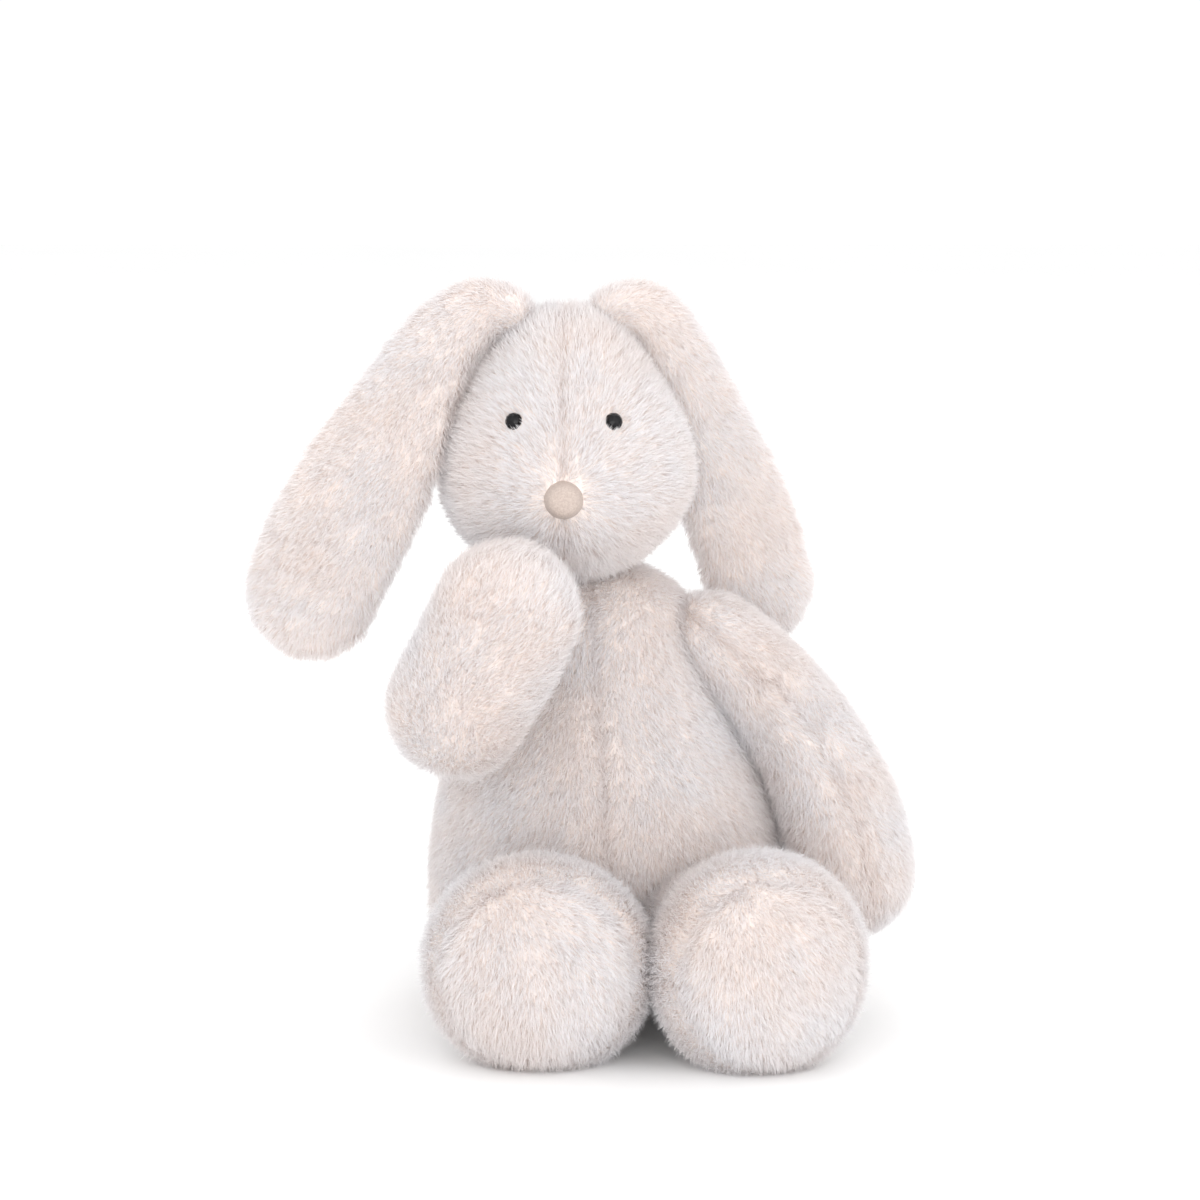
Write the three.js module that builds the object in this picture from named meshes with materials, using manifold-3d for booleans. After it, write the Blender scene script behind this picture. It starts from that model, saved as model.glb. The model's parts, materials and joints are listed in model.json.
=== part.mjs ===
// A seated stuffed bunny: sewn plush panels over soft fillings, long hanging ears,
// one arm raised to the mouth and the other hanging at the side.
// Millimetres, +Z up, the bunny faces -Y and rests on Z = 0. Left and right are the bunny's own.
import * as THREE from 'three';
import { mergeVertices } from 'three/addons/utils/BufferGeometryUtils.js';
import Module from 'manifold-3d';

const wasm = await Module();
wasm.setup();

// ---- driving dimensions ----
const BACKING = 1.2;           // thickness of the plush backing cloth
const SEAM_GAP = 0.3;          // clearance between two sewn panels
const LOOSE = 1.3;             // clearance between the cloth and its filling
const JOINT_GAP = 2.5;         // clearance round a limb's ball end
const SEATED_HEIGHT = 296;     // top of the head's cloth above the floor
const NECK_HEIGHT = 178;
const EYE_DIAMETER = 7.5;      // a common safety-eye size
const EYE_SPACING = 40;
const EYE_HEIGHT = 253;
const NOSE_WIDTH = 15;
const NOSE_HEIGHT = 223;
const NOSE_DEPTH = 3.6;
const BACK_SEAM = 6;           // y of the seam between the face and the back of the head
const LEG_SEAM = 38;           // height of the seam between a leg's top and under panels
const SOLE_SEAM = 17;          // the sole's seam lies this far behind the spine's end
const FAR = 600;               // reach of the half-space cutters

const v = (x, y, z) => new THREE.Vector3(x, y, z);

const NECK = v(-9, 2, NECK_HEIGHT);
const HEAD = { x: -14, y: -4, bottom: 181, top: SEATED_HEIGHT };
const SHOULDER = { right: v(-50, -8, 152), left: v(45, -6, 156) };
const ELBOW = { right: v(-60, -72, 137), left: v(83, -12, 112) };
const HIP = { right: v(-26, -40, 36), left: v(40, -40, 36) };
const EAR_ROOT = { right: v(-34, -5, 289), left: v(4, 2, 290) };

// ---- materials ----
const finish = (color, roughness) => new THREE.MeshStandardMaterial({ color, roughness, metalness: 0 });
const plush = () => finish(0xe9e4e2, 0.9);
const wadding = () => finish(0xf4f2ee, 0.95);
const blackPlastic = () => finish(0x08080a, 0.12);
const velour = () => finish(0xe8d2c4, 0.85);
const whiteNylon = () => finish(0xe6e6e2, 0.5);
const beanCloth = () => finish(0xd8d4ca, 0.8);

// ---- solids: three.js geometry in, three.js geometry out ----
function solid(geometry, matrix = new THREE.Matrix4()) {
  const shape = geometry.clone().applyMatrix4(matrix);
  shape.deleteAttribute('normal');
  shape.deleteAttribute('uv');
  const welded = mergeVertices(shape, 1e-4);
  return new wasm.Manifold(new wasm.Mesh({
    numProp: 3,
    vertProperties: new Float32Array(welded.attributes.position.array),
    triVerts: new Uint32Array(welded.index.array),
  }));
}

function mesh(name, body, material) {
  const cut = largest(body).getMesh();
  const geometry = new THREE.BufferGeometry();
  geometry.setAttribute('position', new THREE.BufferAttribute(Float32Array.from(cut.vertProperties), 3));
  geometry.setIndex(new THREE.BufferAttribute(Uint32Array.from(cut.triVerts), 1));
  geometry.computeVertexNormals();
  const piece = new THREE.Mesh(geometry, material);
  piece.name = name;
  return piece;
}

function ball(centre, radius, around = 14) {
  const geometry = new THREE.SphereGeometry(radius, around, around / 2);
  return solid(geometry, new THREE.Matrix4().makeTranslation(centre.x, centre.y, centre.z));
}

// a profile of [radius, height] points turned about +Y
function lathe(profile, around = 12) {
  return new THREE.LatheGeometry(profile.map(([r, h]) => new THREE.Vector2(r, h)), around);
}

// everything on the far side of a plane through `point`, along `normal`
function halfSpace(point, normal, gap = SEAM_GAP / 2) {
  const direction = normal.clone().normalize();
  const turn = new THREE.Quaternion().setFromUnitVectors(v(0, 0, 1), direction);
  const centre = point.clone().addScaledVector(direction, FAR / 2 + gap);
  const matrix = new THREE.Matrix4().compose(centre, turn, v(1, 1, 1));
  return solid(new THREE.BoxGeometry(FAR, FAR, FAR), matrix);
}

const aboveFloor = (height = 0) => halfSpace(v(0, 0, height), v(0, 0, 1), 0);

// ---- the stuffed form: rings along a spine, rounded at both ends ----
// widths and depths are half sizes at evenly spaced places along the spine,
// caps are the lengths over which each end closes, and power squares the section up a little.
function ringStations(length, caps, capSteps, middleSteps) {
  const stations = [];
  for (let i = 0; i <= capSteps; i += 1) {
    const angle = (Math.PI / 2) * (i / capSteps);
    stations.push({ at: caps[0] * (1 - Math.cos(angle)), round: Math.sin(angle) });
  }
  const straight = length - caps[0] - caps[1];
  for (let i = 1; i < middleSteps; i += 1) {
    stations.push({ at: caps[0] + (straight * i) / middleSteps, round: 1 });
  }
  for (let i = capSteps; i >= 0; i -= 1) {
    const angle = (Math.PI / 2) * (i / capSteps);
    stations.push({ at: length - caps[1] * (1 - Math.cos(angle)), round: Math.sin(angle) });
  }
  return stations;
}

// the section's own axes: across its width, and through its thickness, which runs along `facing`
function crossSection(curve, fraction, facing) {
  const along = curve.getTangentAt(fraction);
  const across = new THREE.Vector3().crossVectors(along, facing).normalize();
  return { along, across, through: new THREE.Vector3().crossVectors(along, across) };
}

// one ring of points for each station, with a single point at each end
function formRings(form, inset, angles, lift = 0) {
  const { spine, widths, depths, caps, capSteps = 3, middleSteps = 2, power = 2 } = form;
  const curve = new THREE.CatmullRomCurve3(spine, false, 'centripetal');
  const sizes = new THREE.CatmullRomCurve3(widths.map((w, i) => v(w, depths[i], 0)));
  const length = curve.getLength();
  const squared = (value) => Math.sign(value) * Math.abs(value) ** (2 / power);
  const stations = ringStations(length - 2 * inset, caps.map((c) => c - inset), capSteps, middleSteps);
  return stations.map(({ at, round }) => {
    const fraction = THREE.MathUtils.clamp((at + inset) / length, 0, 1);
    const { along, across, through } = crossSection(curve, fraction, form.facing);
    const beyond = at + inset - fraction * length; // a grown form reaches past the spine's ends
    const centre = curve.getPointAt(fraction).addScaledVector(along, beyond);
    const size = sizes.getPoint(fraction);
    const ring = (round < 1e-6 ? [0] : angles).map((angle) => centre.clone()
      .addScaledVector(across, (size.x - inset) * round * squared(Math.cos(angle)))
      .addScaledVector(through, (size.y - inset) * round * squared(Math.sin(angle)) + lift));
    return form.warp ? ring.map(form.warp) : ring;
  });
}

// faces between rings of points; `index(ring, i)` numbers the points, and count is the strips per ring
function ringFaces(ringCount, count, index, inward = false) {
  const faces = [];
  const add = (a, b, c) => (inward ? faces.push(a, c, b) : faces.push(a, b, c));
  for (let r = 0; r < ringCount - 1; r += 1) {
    for (let i = 0; i < count; i += 1) {
      if (r < ringCount - 2) add(index(r, i), index(r + 1, i + 1), index(r + 1, i));
      if (r > 0) add(index(r, i), index(r, i + 1), index(r + 1, i + 1));
    }
  }
  return faces;
}

function fromFaces(points, faces) {
  const geometry = new THREE.BufferGeometry().setFromPoints(points);
  geometry.setIndex(faces);
  return solid(geometry);
}

function stuffedForm(form, inset = 0) {
  const around = form.around ?? 12;
  const offset = form.planeCut ? 0.5 : 0;
  const angles = Array.from({ length: around }, (_, i) => (2 * Math.PI * (i + offset)) / around);
  const rings = formRings(form, inset, angles);
  const last = rings.length - 1;
  const total = 2 + (last - 1) * around;
  const index = (r, i) => (r === 0 ? 0 : r === last ? total - 1 : 1 + (r - 1) * around + (i % around));
  return fromFaces(rings.flat(), ringFaces(rings.length, around, index));
}

// one sewn panel: the half of the cloth shell on the facing side, or on the other, with its cut edge closed
function halfShell(form, onFacingSide) {
  const strips = (form.around ?? 12) / 2;
  const start = onFacingSide ? Math.PI : 0;
  const lift = ((onFacingSide ? -1 : 1) * SEAM_GAP) / 2;
  const angles = Array.from({ length: strips + 1 }, (_, i) => start + (Math.PI * i) / strips);
  const outer = formRings(form, 0, angles, lift);
  const inner = formRings(form, BACKING, angles, lift);
  const last = outer.length - 1;
  const each = 2 + (last - 1) * (strips + 1);
  const outerIndex = (r, i) => (r === 0 ? 0 : r === last ? each - 1 : 1 + (r - 1) * (strips + 1) + i);
  const innerIndex = (r, i) => each + outerIndex(r, i);
  const faces = [
    ...ringFaces(outer.length, strips, outerIndex),
    ...ringFaces(inner.length, strips, innerIndex, true),
  ];
  for (let r = 0; r < last; r += 1) {
    const [a, d] = [outerIndex(r, 0), outerIndex(r + 1, 0)];
    const [b, c] = [outerIndex(r, strips), outerIndex(r + 1, strips)];
    faces.push(a, d, d + each, a, d + each, a + each);
    faces.push(c, b, c + each, b, b + each, c + each);
  }
  return fromFaces([...outer.flat(), ...inner.flat()], faces);
}

// cloth shell and filling of one stuffed form
function stuffed(form) {
  const outer = stuffedForm(form);
  const lining = stuffedForm(form, BACKING);
  return { cloth: outer.subtract(lining), filling: stuffedForm(form, BACKING + LOOSE) };
}

// the same for a form that the floor flattens: its cloth runs under it without a hole
function stuffedOnFloor(form) {
  const outer = within(stuffedForm(form), aboveFloor());
  const lining = within(stuffedForm(form, BACKING), aboveFloor(BACKING));
  const filling = within(stuffedForm(form, BACKING + LOOSE), aboveFloor(BACKING + LOOSE));
  return { cloth: outer.subtract(lining), filling };
}

const without = (body, ...cutters) => cutters.reduce((rest, cutter) => rest.subtract(cutter), body);
const within = (body, ...cutters) => cutters.reduce((rest, cutter) => rest.intersect(cutter), body);

// ---- the forms ----
const headForm = {
  spine: [v(HEAD.x + 3, HEAD.y, HEAD.bottom), v(HEAD.x, HEAD.y, 238), v(HEAD.x, HEAD.y, HEAD.top)],
  widths: [43, 51, 50.5, 42.5, 38],
  depths: [40, 49, 50, 46, 40],
  facing: v(0, -1, 0),
  caps: [46, 58],
  around: 18,
  capSteps: 4,
  middleSteps: 2,
  planeCut: true,
  warp: snout,
};

// the snout: the face swells forward round the nose
function snout(point) {
  const nose = v(HEAD.x + 1, 0, NOSE_HEIGHT - 4);
  const reach = 30;
  const off = (point.x - nose.x) ** 2 + (point.z - nose.z) ** 2;
  const front = Math.max(0, -(point.y - HEAD.y) / 50);
  point.y -= 8 * front * Math.exp(-off / reach ** 2);
  return point;
}

const bodyForm = {
  spine: [v(8, 2, -12), v(4, 0, 60), v(-2, 2, 120), v(-8, 4, 187)],
  widths: [63, 74, 73, 63, 50, 38],
  depths: [54, 60, 60, 52, 40, 32],
  facing: v(0, -1, 0),
  caps: [44, 26],
  around: 18,
  capSteps: 3,
  middleSteps: 4,
  planeCut: true,
};

const earForm = {
  right: {
    spine: [
      v(-27, -4, 285), v(-47, -8, 296), v(-69, -14, 277), v(-88, -19, 241),
      v(-104, -22, 212), v(-118, -23, 184), v(-130, -24, 153),
    ],
    widths: [10, 13, 18, 26, 30, 30, 27],
    depths: [7, 8, 7.5, 7.5, 7.5, 7.5, 7],
    facing: v(-0.25, -1, 0),
    caps: [10, 25],
    capSteps: 2,
    middleSteps: 8,
  },
  left: {
    spine: [v(-3, 1, 285), v(14, 5, 296), v(31, 12, 279), v(46, 22, 240), v(62, 31, 198), v(77, 37, 147)],
    widths: [10, 13, 17, 22, 25, 25, 23],
    depths: [7, 8, 7.5, 7.5, 7.5, 7.5, 7],
    facing: v(0.3, -1, 0),
    caps: [10, 24],
    capSteps: 2,
    middleSteps: 8,
  },
};

const upperArmForm = {
  right: {
    spine: [v(-47, 8, 158), v(-55, -30, 147), v(-61, -84, 136)],
    widths: [19, 22, 25, 26],
    depths: [17, 19, 22, 23],
    facing: v(-1, 0, -0.2),
    caps: [17, 20],
  },
  left: {
    spine: [v(34, -4, 168), v(68, -9, 138), v(95, -13, 104)],
    widths: [17, 18, 19, 19],
    depths: [16, 19, 21, 23],
    facing: v(0.76, 0.2, 0.64),
    caps: [17, 18],
  },
};

const foreArmForm = {
  right: {
    spine: [v(-70, -73, 118), v(-58, -80, 140), v(-44, -85, 166), v(-25, -84, 206)],
    widths: [25, 27, 28, 28, 26],
    depths: [20, 20, 20, 19, 17],
    facing: v(0, -1, 0.1),
    caps: [24, 26],
    middleSteps: 3,
  },
  left: {
    spine: [v(77, -11, 130), v(92, -13, 106), v(106, -17, 72), v(111, -20, 33)],
    widths: [18, 20, 20, 20, 18],
    depths: [19, 22, 24, 24, 21],
    facing: v(0.93, 0.3, 0.35),
    caps: [18, 20],
    middleSteps: 3,
  },
};

const legForm = {
  right: {
    spine: [v(-27, -14, 35), v(-26, -50, 35), v(-24, -88, 39), v(-26, -135, 41)],
    widths: [28, 31, 36, 46, 43],
    depths: [28, 30, 34, 44, 42],
    facing: v(0, 0, 1),
    caps: [27, 34],
    around: 14,
    middleSteps: 3,
    planeCut: true,
  },
  left: {
    spine: [v(36, -14, 35), v(44, -50, 35), v(60, -90, 40), v(71, -139, 42)],
    widths: [28, 31, 35, 43, 40],
    depths: [28, 30, 35, 45, 43],
    facing: v(0, 0, 1),
    caps: [27, 34],
    around: 14,
    middleSteps: 3,
    planeCut: true,
  },
};

const NECK_BALL = 20;
const tailForm = {
  spine: [v(10, 56, 34), v(11, 90, 42)],
  widths: [15, 17, 14],
  depths: [15, 17, 14],
  facing: v(0, 0, 1),
  caps: [16, 17],
  middleSteps: 1,
  planeCut: true,
};

// ---- clearances: the room a moving form sweeps through, at a few turns from rest ----
const TURNS = {
  ear: { right: { axis: v(0, 1, 0), degrees: [0, 70] }, left: { axis: v(0, -1, 0), degrees: [0, 70] } },
  shoulder: {
    right: { axis: v(-1, 0, 0), degrees: [-35, 0] },
    left: { axis: v(0, -1, 0), degrees: [0, 70] },
  },
  elbow: { right: { axis: v(1, 0, 0), degrees: [0, 60] }, left: { axis: v(0, -1, 0), degrees: [0, 45] } },
  hip: { right: { axis: v(-1, 0, 0), degrees: [0, 20] }, left: { axis: v(-1, 0, 0), degrees: [0, 20] } },
  head: { axis: v(1, 0, 0), degrees: [-15, 5] },
};

function sweptRoom(form, pivot, { axis, degrees }) {
  const grown = stuffedForm(form, -JOINT_GAP);
  const rooms = degrees.map((angle) => {
    const turn = new THREE.Matrix4().makeRotationAxis(axis, THREE.MathUtils.degToRad(angle));
    const place = new THREE.Matrix4().makeTranslation(pivot.x, pivot.y, pivot.z).multiply(turn)
      .multiply(new THREE.Matrix4().makeTranslation(-pivot.x, -pivot.y, -pivot.z));
    return grown.transform([...place.elements]);
  });
  return rooms.reduce((all, room) => all.add(room));
}

// the largest single body left after cutting
const largest = (body) => body.decompose().sort((p, q) => q.volume() - p.volume())[0];

// ---- body: four side panels, an oval seat, filling and a bean bag ----
const BODY_SEAMS = { front: v(5, 0, 60), side: v(5, 4, 60), leftwards: v(1, 0, 0.06) };
const BEAN_BAG = { radius: 30, bottom: 2.2, belly: 8, top: 24 };

// half the outline of the bean bag, from its bottom to its top, grown for the room it lies in
function beanBagProfile(grow, bottom) {
  const { radius, belly, top } = BEAN_BAG;
  const foot = grow > 0 ? radius : 0.8 * radius;
  return [
    [0, bottom],
    [foot + grow, bottom],
    [radius + grow, belly],
    [0.93 * radius + grow, (2 * top) / 3 + grow],
    [0.6 * radius + grow, top - 2 + grow],
    [0, top + grow],
  ];
}

function buildBody() {
  const group = new THREE.Group();
  const sockets = [ball(NECK, NECK_BALL + SEAM_GAP), sweptRoom(headForm, NECK, TURNS.head)];
  for (const side of ['right', 'left']) {
    sockets.push(sweptRoom(upperArmForm[side], SHOULDER[side], TURNS.shoulder[side]));
    sockets.push(sweptRoom(legForm[side], HIP[side], TURNS.hip[side]));
  }
  const { cloth, filling } = stuffed(bodyForm);
  const seatPlane = halfSpace(v(0, 0, BACKING), v(0, 0, 1), SEAM_GAP);
  const sides = without(within(cloth, aboveFloor()), ...sockets);
  const leftHalf = halfSpace(BODY_SEAMS.front, BODY_SEAMS.leftwards);
  const rightHalf = halfSpace(BODY_SEAMS.front, BODY_SEAMS.leftwards.clone().negate());
  const frontHalf = halfSpace(BODY_SEAMS.side, v(0, -1, 0));
  const backHalf = halfSpace(BODY_SEAMS.side, v(0, 1, 0));
  group.add(mesh('body_front_left', within(sides, leftHalf, frontHalf), plush()));
  group.add(mesh('body_front_right', within(sides, rightHalf, frontHalf), plush()));
  group.add(mesh('body_back_left', within(sides, leftHalf, backHalf), plush()));
  group.add(mesh('body_back_right', within(sides, rightHalf, backHalf), plush()));

  const seatOutline = stuffedForm(bodyForm, BACKING + LOOSE);
  const seatSlab = within(seatOutline, aboveFloor(), halfSpace(v(0, 0, BACKING), v(0, 0, -1), 0));
  group.add(mesh('seat_panel', without(seatSlab, ...sockets), plush()));

  const bagPlace = new THREE.Matrix4().makeRotationX(Math.PI / 2).setPosition(7, 4, 0);
  const room = solid(lathe(beanBagProfile(2 * SEAM_GAP, -4), 20), bagPlace);
  group.add(mesh('body_filling', without(within(filling, seatPlane), ...sockets, room), wadding()));
  const bag = lathe(beanBagProfile(0, BEAN_BAG.bottom), 16);
  group.add(mesh('seat_bean_bag', solid(bag, bagPlace), beanCloth()));
  return group;
}

// ---- tail: a furry cover drawn shut over a small ball of filling ----
function buildTail() {
  const group = new THREE.Group();
  const bodyRoom = stuffedForm(bodyForm, -JOINT_GAP / 2);
  const { cloth, filling } = stuffed(tailForm);
  const mouth = halfSpace(v(10, 61, 35), v(0, 1, 0.2), 0);
  group.add(mesh('tail_cover', without(within(cloth, mouth), bodyRoom), plush()));
  group.add(mesh('tail_filling', without(within(filling, mouth), bodyRoom), wadding()));
  return group;
}

// ---- eyes: a domed safety eye whose shank goes through the face into a washer ----
const EYE_SHANK = { radius: 1.5, length: 11 };
const EYE_DOME = 3.2;            // height of the dome over its rim
const WASHER = { radius: 6, thickness: 1.5, depth: 3 };

// eye geometry has its axis along +Y: the dome looks out, the shank points back
function eyeGeometry() {
  const r = EYE_DIAMETER / 2;
  const dome = [0, 30, 60, 90].map((d) => {
    const a = THREE.MathUtils.degToRad(d);
    return [r * Math.sin(a), EYE_DOME * Math.cos(a)];
  });
  const s = EYE_SHANK.radius;
  return lathe([[0, -EYE_SHANK.length], [s, -EYE_SHANK.length], [s, -0.4], [r, -0.4], ...dome.reverse()]);
}

function washerGeometry() {
  const { radius, thickness, depth } = WASHER;
  const bore = EYE_SHANK.radius + SEAM_GAP;
  const bottom = -depth - thickness;
  return lathe([[bore, bottom], [radius, bottom], [radius, -depth], [bore, -depth], [bore, bottom]]);
}

const rod = (radius, bottom, top) => lathe([[0, bottom], [radius, bottom], [radius, top], [0, top]]);

// the face point at a given x and z, found on the head form by a ray from the front
function facePoint(faceGeometry, x, z) {
  const target = new THREE.Mesh(faceGeometry, new THREE.MeshBasicMaterial({ side: THREE.DoubleSide }));
  const hit = new THREE.Raycaster(v(x, -300, z), v(0, 1, 0)).intersectObject(target)[0];
  const normal = hit.face.normal.clone();
  if (normal.y > 0) normal.negate();
  return { point: hit.point, normal };
}

function buildHead() {
  const group = new THREE.Group();
  const outer = stuffedForm(headForm);
  const surface = mesh('surface', outer, plush()).geometry;
  const { cloth, filling } = stuffed(headForm);
  const sockets = [
    ball(NECK, NECK_BALL + JOINT_GAP),
    sweptRoom(earForm.right, EAR_ROOT.right, TURNS.ear.right),
    sweptRoom(earForm.left, EAR_ROOT.left, TURNS.ear.left),
  ];
  const holes = [];
  const washerRooms = [];
  for (const [name, sign] of [['right', -1], ['left', 1]]) {
    const { point, normal } = facePoint(surface, HEAD.x + (sign * EYE_SPACING) / 2, EYE_HEIGHT);
    const place = new THREE.Matrix4().compose(
      point.clone().addScaledVector(normal, 0.8),
      new THREE.Quaternion().setFromUnitVectors(v(0, 1, 0), normal),
      v(1, 1, 1));
    holes.push(solid(rod(EYE_SHANK.radius + 0.4, -20, 4), place));
    const under = -WASHER.depth - WASHER.thickness - 1;
    washerRooms.push(solid(rod(WASHER.radius + 0.6, under, 2), place));
    const eye = new THREE.Mesh(eyeGeometry(), blackPlastic());
    eye.name = `eye_${name}`;
    const washer = new THREE.Mesh(washerGeometry(), whiteNylon());
    washer.name = `eye_washer_${name}`;
    for (const piece of [eye, washer]) {
      piece.applyMatrix4(place);
      group.add(piece);
    }
  }
  const shell = without(cloth, ...sockets, ...holes);
  const backSeam = v(0, BACK_SEAM, 0);
  const leftHalf = halfSpace(v(HEAD.x, 0, 0), v(1, 0, 0));
  const rightHalf = halfSpace(v(HEAD.x, 0, 0), v(-1, 0, 0));
  const face = halfSpace(backSeam, v(0, -1, 0));
  group.add(mesh('face_left', within(shell, leftHalf, face), plush()));
  group.add(mesh('face_right', within(shell, rightHalf, face), plush()));
  group.add(mesh('head_back', within(shell, halfSpace(backSeam, v(0, 1, 0))), plush()));
  group.add(mesh('head_filling', without(filling, ...sockets, ...holes, ...washerRooms), wadding()));

  const nose = facePoint(surface, HEAD.x, NOSE_HEIGHT);
  const pad = new THREE.SphereGeometry(1, 18, 12);
  const padSize = v(NOSE_WIDTH / 2, NOSE_DEPTH, NOSE_WIDTH / 2);
  const padPlace = new THREE.Matrix4().compose(nose.point, new THREE.Quaternion(), padSize);
  const faceRoom = stuffedForm(headForm, -SEAM_GAP);
  group.add(mesh('nose_patch', solid(pad, padPlace).subtract(faceRoom), velour()));
  return group;
}

function buildNeck() {
  const plug = ball(NECK, NECK_BALL - SEAM_GAP);
  return mesh('neck_filling', plug, wadding());
}

// an ear: front and back panels with a flat wadding between
function buildEar(side) {
  const group = new THREE.Group();
  const form = earForm[side];
  group.add(mesh(`ear_${side}_front`, halfShell(form, true), plush()));
  group.add(mesh(`ear_${side}_back`, halfShell(form, false), plush()));
  group.add(mesh(`ear_${side}_wadding`, stuffedForm(form, BACKING + LOOSE), wadding()));
  return group;
}

// an arm: an upper part with a dished end, and a forearm whose ball end turns in the dish
function buildArm(side) {
  const group = new THREE.Group();
  const dish = sweptRoom(foreArmForm[side], ELBOW[side], TURNS.elbow[side]);
  const addLimb = (part, form, cutters) => {
    const filling = stuffedForm(form, BACKING + LOOSE);
    group.add(mesh(`arm_${side}_${part}_outer`, without(halfShell(form, true), ...cutters), plush()));
    group.add(mesh(`arm_${side}_${part}_inner`, without(halfShell(form, false), ...cutters), plush()));
    group.add(mesh(`arm_${side}_${part}_filling`, without(filling, ...cutters), wadding()));
  };
  addLimb('upper', upperArmForm[side], [dish]);
  addLimb('lower', foreArmForm[side], []);
  return group;
}

// a leg: top and under panels, a rounded sole panel facing forward, and the filling
function buildLeg(side) {
  const group = new THREE.Group();
  const form = legForm[side];
  const { cloth, filling } = stuffedOnFloor(form);
  const toes = form.spine[3];
  const ankle = form.spine[2];
  const forward = toes.clone().sub(ankle).normalize();
  const seam = toes.clone().addScaledVector(forward, -SOLE_SEAM);
  const sole = halfSpace(seam, forward);
  const shaft = halfSpace(seam, forward.clone().negate());
  const mid = v(0, 0, LEG_SEAM);
  group.add(mesh(`leg_${side}_top`, within(cloth, shaft, halfSpace(mid, v(0, 0, 1))), plush()));
  group.add(mesh(`leg_${side}_under`, within(cloth, shaft, halfSpace(mid, v(0, 0, -1))), plush()));
  group.add(mesh(`leg_${side}_sole`, within(cloth, sole), plush()));
  group.add(mesh(`leg_${side}_filling`, filling, wadding()));
  return group;
}

const bunny = new THREE.Group();
bunny.name = 'stuffed_bunny';
bunny.add(buildBody(), buildTail(), buildNeck(), buildHead());
for (const side of ['right', 'left']) {
  bunny.add(buildEar(side), buildArm(side), buildLeg(side));
}

// the origin is on the floor, at the middle of the whole bunny's box
const footprint = new THREE.Box3().setFromObject(bunny).getCenter(v(0, 0, 0));
bunny.position.set(-footprint.x, -footprint.y, 0);
bunny.updateMatrixWorld(true);
export default bunny;
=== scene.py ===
"""A seated plush bunny: sewn panels puffed by their filling, a swept pile, plastic eyes, a velour nose."""

import json

import bpy
import numpy as np
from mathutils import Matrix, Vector


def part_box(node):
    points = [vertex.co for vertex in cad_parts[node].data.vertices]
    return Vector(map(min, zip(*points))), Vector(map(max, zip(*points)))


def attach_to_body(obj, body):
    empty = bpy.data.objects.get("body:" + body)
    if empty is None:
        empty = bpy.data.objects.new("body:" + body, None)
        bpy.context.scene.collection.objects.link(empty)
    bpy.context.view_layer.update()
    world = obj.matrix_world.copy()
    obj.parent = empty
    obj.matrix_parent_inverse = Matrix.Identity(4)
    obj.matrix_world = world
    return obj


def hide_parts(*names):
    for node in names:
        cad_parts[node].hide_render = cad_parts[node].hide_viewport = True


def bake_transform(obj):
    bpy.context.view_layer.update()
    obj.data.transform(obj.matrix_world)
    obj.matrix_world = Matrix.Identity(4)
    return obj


MM = 0.001

# driving sizes, in millimetres
SKIN_INSET = 0.5  # the sewn cloth lies this far inside the CAD surface, so that the pile fills it out
VOXEL = 4.5  # grain of the remesh before the cloth is puffed
PUFF_CAP = 2.2  # the furthest a point of the cloth may swell
SEAM_DEPTH = 1.2  # how far a seam pulls in
SEAM_WIDTH = 3.0
BACKING = 1.0  # thickness of the backing cloth
SEWN_IN = -4.0  # how deep a limb's skin runs into the head or body it is sewn to
FLOOR_GAP = 0.4
PILE_LENGTH = 7.0
PILE_DENSITY = 2.45  # strands on each square millimetre
STRAND_WIDTH = 0.27
CLUMP_SIZE = 5.0
SEAM_ROOTS_AND_SHADE = 0.35  # how strongly the pile near a seam turns warmer and darker: partly its warm roots showing where it parts, partly painted shade in the seam's groove
SEAM_ROOTS_AND_SHADE_WIDTH = 2.2
LEAN = 58.0  # degrees that a strand leans over from straight out
REST_CONTACT = 5.0  # pile still grows this deep inside a neighbour, for the poses where the two part
SIDES = 40  # corners of a form's rings

ELBOW = 0.55  # where the sleeve's two pairs of panels meet, as a share of the upper arm
SOLE_SEAM = 17.0  # from the end of a leg's spine back to the seam round its sole
LEG_SEAM = 38.0  # height of the seam between the top and under panels of a leg
SNOUT_BULGE = 8.0
SNOUT_REACH = 30.0
NOSE_BARE = 7.4  # no pile grows this near the middle of the nose
EYE_BARE = 2.9
BARE_FADE = 7.0  # over this length the pile grows from its shortest to its full length
SHORTEST = 0.45

PUFF_FRAMES = 20
PUFF_PRESSURE = 4

PILE_COLOURS = [(0.0, (0.83, 0.77, 0.74)), (0.35, (0.895, 0.875, 0.875)), (0.8, (0.92, 0.915, 0.925))]
WARM_PATCH = (1.0, 0.978, 0.964)
COOL_PATCH = (0.99, 0.994, 1.0)
# the pile's colour beside a seam: partly the warm roots that show where the pile parts, partly painted shade
# in the seam's groove
SEAM_ROOTS_AND_SHADE_COLOUR = (0.96, 0.89, 0.85)

HEAD_NODES = ["face_left", "face_right", "head_back"]
BODY_NODES = ["body_front_left", "body_front_right", "body_back_left", "body_back_right"]

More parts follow.
